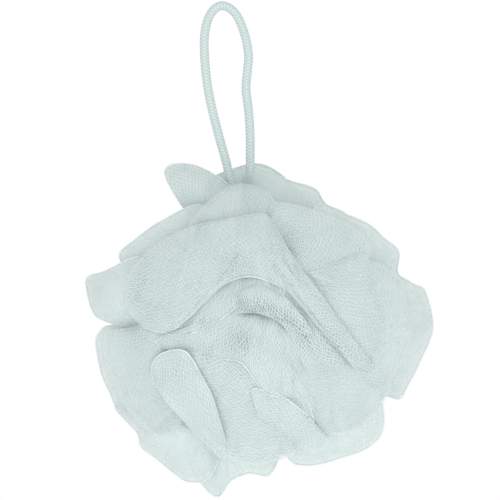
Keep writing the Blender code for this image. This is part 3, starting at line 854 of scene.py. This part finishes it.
def addNetting():
    outer = tracedFolds(outerFolds)
    face = tracedFolds(faceFolds)
    turned = [tracedFolds(faceFolds, *places) for places in turnedFaces]
    inner = plainFolds(innerFolds)
    netFinish = netMaterial("nylonNet", net["colour"])
    nets = []
    names = ("net_outer", "net_face", "net_back", "net_left", "net_right", "net_top", "net_under")
    for name, folds in zip(names, (outer, face, *turned)):
        nets.append(addPiece(name, gathered([netMesh(fold) for fold in folds]), netFinish))
    second = [netMesh(fold, net["underCell"], net["underSunk"]) for fold in face if not fold["faint"]]
    nets.append(addPiece("net_face_second", gathered(second), netFinish))
    behind = sum(turned, [])
    hazes = [hazeMesh(fold, haze["around"], haze["rings"]) for fold in face + tracedFolds(backFolds)]
    faceFinish = hazeMaterial("faceLayers", haze["faceAlpha"])
    layers = addPiece("net_layers", gathered(hazes), faceFinish)
    outerFinish = hazeMaterial("outerLayers", haze["outerAlpha"])
    insideFinish = hazeMaterial("innerLayers", haze["innerAlpha"])
    for name, folds, finish in (("net_outer_layers", outer, outerFinish),
                                ("net_back_layers", behind, outerFinish),
                                ("net_inner_layers", inner, insideFinish)):
        hazes = [hazeMesh(fold, haze["behindAround"], haze["behindRings"]) for fold in folds]
        nets.append(addPiece(name, gathered(hazes), finish))
    # rims paler than the net: partly doubled net, partly painted highlight
    rimFinish = netMaterial("rolledNet", rim["colour"])
    rimmed = [fold for fold in outer + face if not fold["rimless"]]
    for name, folds, around in (("net_rims", rimmed, rim["around"]),
                                ("net_back_rims", behind + inner, rim["behindAround"])):
        nets.append(addPiece(name, gathered([rimMesh(fold, around) for fold in folds]), rimFinish))
    for piece in (layers, *nets):
        if "rims" not in piece.name:
            softenShade(piece)
        print(piece.name, len(piece.data.polygons) * 2, "triangles")
    gathers = addCore()
    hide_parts("mesh_netting")


addNetting()
print("netting made")

# the knot and the binding inside the netting keep their solids and get yarn of their own
inside = {
    "cord_knot": (0.70, 0.80, 0.785),
    "waist_binding": (0.76, 0.85, 0.835),
    "deeper": 0.8,
    "roughness": 0.75,
    "grain": 1400,
    "wound": 2600,
    "bump": 0.5,
    "bumpDepth": 0.0002,
}


def addYarn(name, colour):
    material, shader = newMaterial(name + "Yarn", colour, inside["roughness"])
    tree = material.node_tree
    worn = addNoise(tree, inside["grain"], 2)
    deep = tuple(part * inside["deeper"] for part in colour)
    tree.links.new(addRamp(tree, worn, deep, colour, patchRange), shader.inputs["Base Color"])
    wound = addNoise(tree, inside["wound"], 3)
    tree.links.new(addBump(tree, wound, inside["bump"], inside["bumpDepth"]), shader.inputs["Normal"])
    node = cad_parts[name].data
    node.materials.clear()
    node.materials.append(material)


for name in ("cord_knot", "waist_binding"):
    addYarn(name, inside[name])
print("knot and binding finished")

# floor far below, lights and the white ground of the photograph
studio = {
    "floorDrop": 1.4,
    "floorSize": 3.0,
    "floorColour": (0.9, 0.9, 0.9),
    "floorRoughness": 0.9,
    "ambient": 0.73,
    "ballDrop": 0.03,                  # how far the ball's middle lies below the camera's aim
    # place from the ball, power and size of each lamp
    "lowKey": ((-0.20, -1.10, -0.45), 4.2, 0.9),
    "fill": ((0.30, -1.15, 0.05), 3.0, 1.0),
}


def addStage():
    bm = bmesh.new()
    bmesh.ops.create_grid(bm, x_segments=1, y_segments=1, size=studio["floorSize"])
    bmesh.ops.translate(bm, vec=(0, 0, -studio["floorDrop"]), verts=bm.verts)
    mesh = bpy.data.meshes.new("floor")
    bm.to_mesh(mesh)
    bm.free()
    floor = bpy.data.objects.new("floor", mesh)
    bpy.context.scene.collection.objects.link(floor)
    material, shader = newMaterial("paleFloor", studio["floorColour"], studio["floorRoughness"])
    mesh.materials.append(material)


def addWorld():
    world = bpy.data.worlds.new("studio")
    world.use_nodes = True
    bpy.context.scene.world = world
    tree = world.node_tree
    background = tree.nodes["Background"]
    background.inputs["Color"].default_value = (1, 1, 1, 1)
    rays = tree.nodes.new("ShaderNodeLightPath")
    seen = rays.outputs["Is Camera Ray"]
    for kind in ("Is Glossy Ray", "Is Transmission Ray"):
        either = tree.nodes.new("ShaderNodeMath")
        either.operation = "MAXIMUM"
        tree.links.new(seen, either.inputs[0])
        tree.links.new(rays.outputs[kind], either.inputs[1])
        seen = either.outputs["Value"]
    level = tree.nodes.new("ShaderNodeMapRange")
    level.inputs["To Min"].default_value = studio["ambient"]
    level.inputs["To Max"].default_value = 1
    tree.links.new(seen, level.inputs["Value"])
    tree.links.new(level.outputs["Result"], background.inputs["Strength"])


def addLamp(name, place, power, size):
    lamp = bpy.data.lights.new(name, "AREA")
    lamp.energy = power
    lamp.size = size
    obj = bpy.data.objects.new(name, lamp)
    bpy.context.scene.collection.objects.link(obj)
    aim = Vector(view["aim"]) - Vector((0, 0, studio["ballDrop"]))
    obj.location = aim + Vector(place)
    obj.rotation_euler = (-Vector(place)).to_track_quat("-Z", "Y").to_euler()


addStage()
addWorld()
for name in ("lowKey", "fill"):
    addLamp(name, *studio[name])
bpy.context.scene.view_settings.view_transform = "Standard"
print("studio lit")
